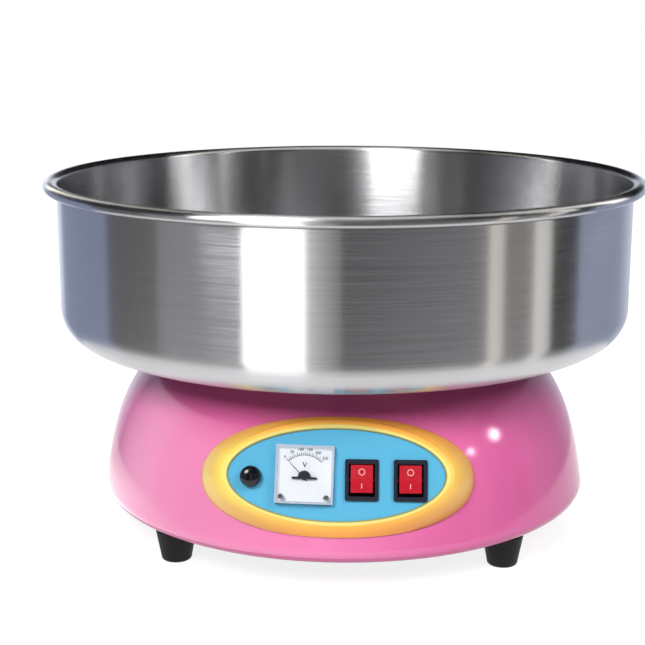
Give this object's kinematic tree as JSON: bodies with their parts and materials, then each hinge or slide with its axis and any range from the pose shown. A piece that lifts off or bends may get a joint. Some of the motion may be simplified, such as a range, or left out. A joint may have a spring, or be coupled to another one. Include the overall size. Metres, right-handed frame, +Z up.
{
  "type": "candy floss machine",
  "caption": "Table-top candy floss machine: wide stainless bowl with rolled rim on a bell-shaped pink housing, spinner head, and an oval panel with voltmeter, fuse and rocker switches.",
  "frame": {"origin": "on the spinner's vertical axis, on the surface the feet stand on", "axes": "+Z up; the control panel faces -Y; +X is to the right of someone who looks at the panel"},
  "size_m": [0.52, 0.52, 0.3057],
  "materials": {
    "stainless": "brushed stainless steel",
    "pink_paint": "glossy pink stove enamel",
    "yellow_plastic": "glossy yellow moulding",
    "blue_plastic": "satin sky-blue sheet",
    "white_plastic": "white moulding",
    "clear_plastic": "clear acrylic",
    "black_plastic": "black moulding",
    "red_plastic": "translucent red rocker",
    "black_rubber": "moulded rubber",
    "cream_plastic": "cream thermoset",
    "cast_aluminium": "as cast and turned",
    "zinc_steel": "bright zinc plated",
    "motor_paint": "grey enamel",
    "copper_winding": "varnished copper winding",
    "rotor_steel": "laminated steel",
    "brass": "turned brass",
    "carbon": "carbon graphite",
    "heater_metal": "heater ring, dull metal sheath"
  },
  "bodies": {
    "base": {"bowl_gasket": "black_rubber", "housing": "pink_paint", "base_plate": "zinc_steel", "turret": "stainless", "motor_screw_1": "zinc_steel", "motor_screw_2": "zinc_steel", "motor_screw_3": "zinc_steel", "motor_mount_ring": "black_rubber", "motor_end_bell": "cast_aluminium", "motor_can": "motor_paint", "motor_bearing_lower": "zinc_steel", "motor_bearing_upper": "zinc_steel", "motor_stator": "copper_winding", "brush_holder": "cream_plastic", "carbon_brush_lower": "carbon", "carbon_brush_upper": "carbon", "brush_spring_lower": "zinc_steel", "brush_spring_upper": "zinc_steel", "panel_bezel": "yellow_plastic", "panel_plate": "blue_plastic", "meter_case": "white_plastic", "meter_dial": "white_plastic", "meter_shroud": "black_plastic", "meter_cover": "clear_plastic", "meter_cover_screw_left": "black_plastic", "meter_cover_screw_right": "black_plastic", "fuse_holder": "black_plastic", "fuse_nut": "black_plastic", "motor_switch_body": "black_plastic", "heat_switch_body": "black_plastic", "terminal_block": "cream_plastic", "cord_grommet": "black_rubber", "foot_front_left": "black_rubber", "foot_bolt_front_left": "zinc_steel", "foot_front_right": "black_rubber", "foot_bolt_front_right": "zinc_steel", "foot_rear_left": "black_rubber", "foot_bolt_rear_left": "zinc_steel", "foot_rear_right": "black_rubber", "foot_bolt_rear_right": "zinc_steel"},
    "spinner": {"motor_shaft": "stainless", "rotor": "rotor_steel", "cooling_fan": "black_plastic", "slip_ring_sleeve": "cream_plastic", "slip_ring_lower": "brass", "slip_ring_upper": "brass", "head_base": "cast_aluminium", "mesh_band": "stainless", "heater_ring": "heater_metal", "head_top": "cast_aluminium", "head_nut": "brass"},
    "bowl_set": {"bowl": "stainless", "bowl_thumb_screw_1": "stainless", "bowl_thumb_screw_2": "stainless", "bowl_thumb_screw_3": "stainless"},
    "motor_rocker": {"motor_switch_rocker": "red_plastic"},
    "heat_rocker": {"heat_switch_rocker": "red_plastic"},
    "needle": {"meter_needle": "black_plastic"},
    "fuse_carrier": {"fuse_link": "zinc_steel"},
    "fuse_cap_body": {"fuse_cap": "black_plastic"}
  },
  "joints": [
    {"name": "spinner_spin", "type": "hinge", "parent": "base", "child": "spinner", "pos_m": [0, 0, 0.2], "axis": [0, 0, 1], "continuous": true},
    {"name": "bowl_lift", "type": "slide", "parent": "base", "child": "bowl_set", "axis": [0, 0, 1], "range_m": [0, 0.15]},
    {"name": "motor_switch_rock", "type": "hinge", "parent": "base", "child": "motor_rocker", "pos_m": [0.0196, -0.19907, 0.09242], "axis": [1, 0, 0], "range_deg": [0, 20]},
    {"name": "heat_switch_rock", "type": "hinge", "parent": "base", "child": "heat_rocker", "pos_m": [0.057, -0.19907, 0.09242], "axis": [1, 0, 0], "range_deg": [0, 20]},
    {"name": "meter_needle_swing", "type": "hinge", "parent": "base", "child": "needle", "pos_m": [-0.02457, -0.20202, 0.09456], "axis": [0, 0.94, -0.3412], "range_deg": [0, 90], "stiffness_Nm_per_rad": 0.00001},
    {"name": "fuse_draw", "type": "slide", "parent": "base", "child": "fuse_carrier", "axis": [0, -0.94, 0.3412], "range_m": [0, 0.04]},
    {"name": "fuse_cap_turn", "type": "hinge", "parent": "fuse_carrier", "child": "fuse_cap_body", "pos_m": [-0.066, -0.20172, 0.0954], "axis": [0, -0.94, 0.3412], "range_deg": [0, 90]}
  ]
}
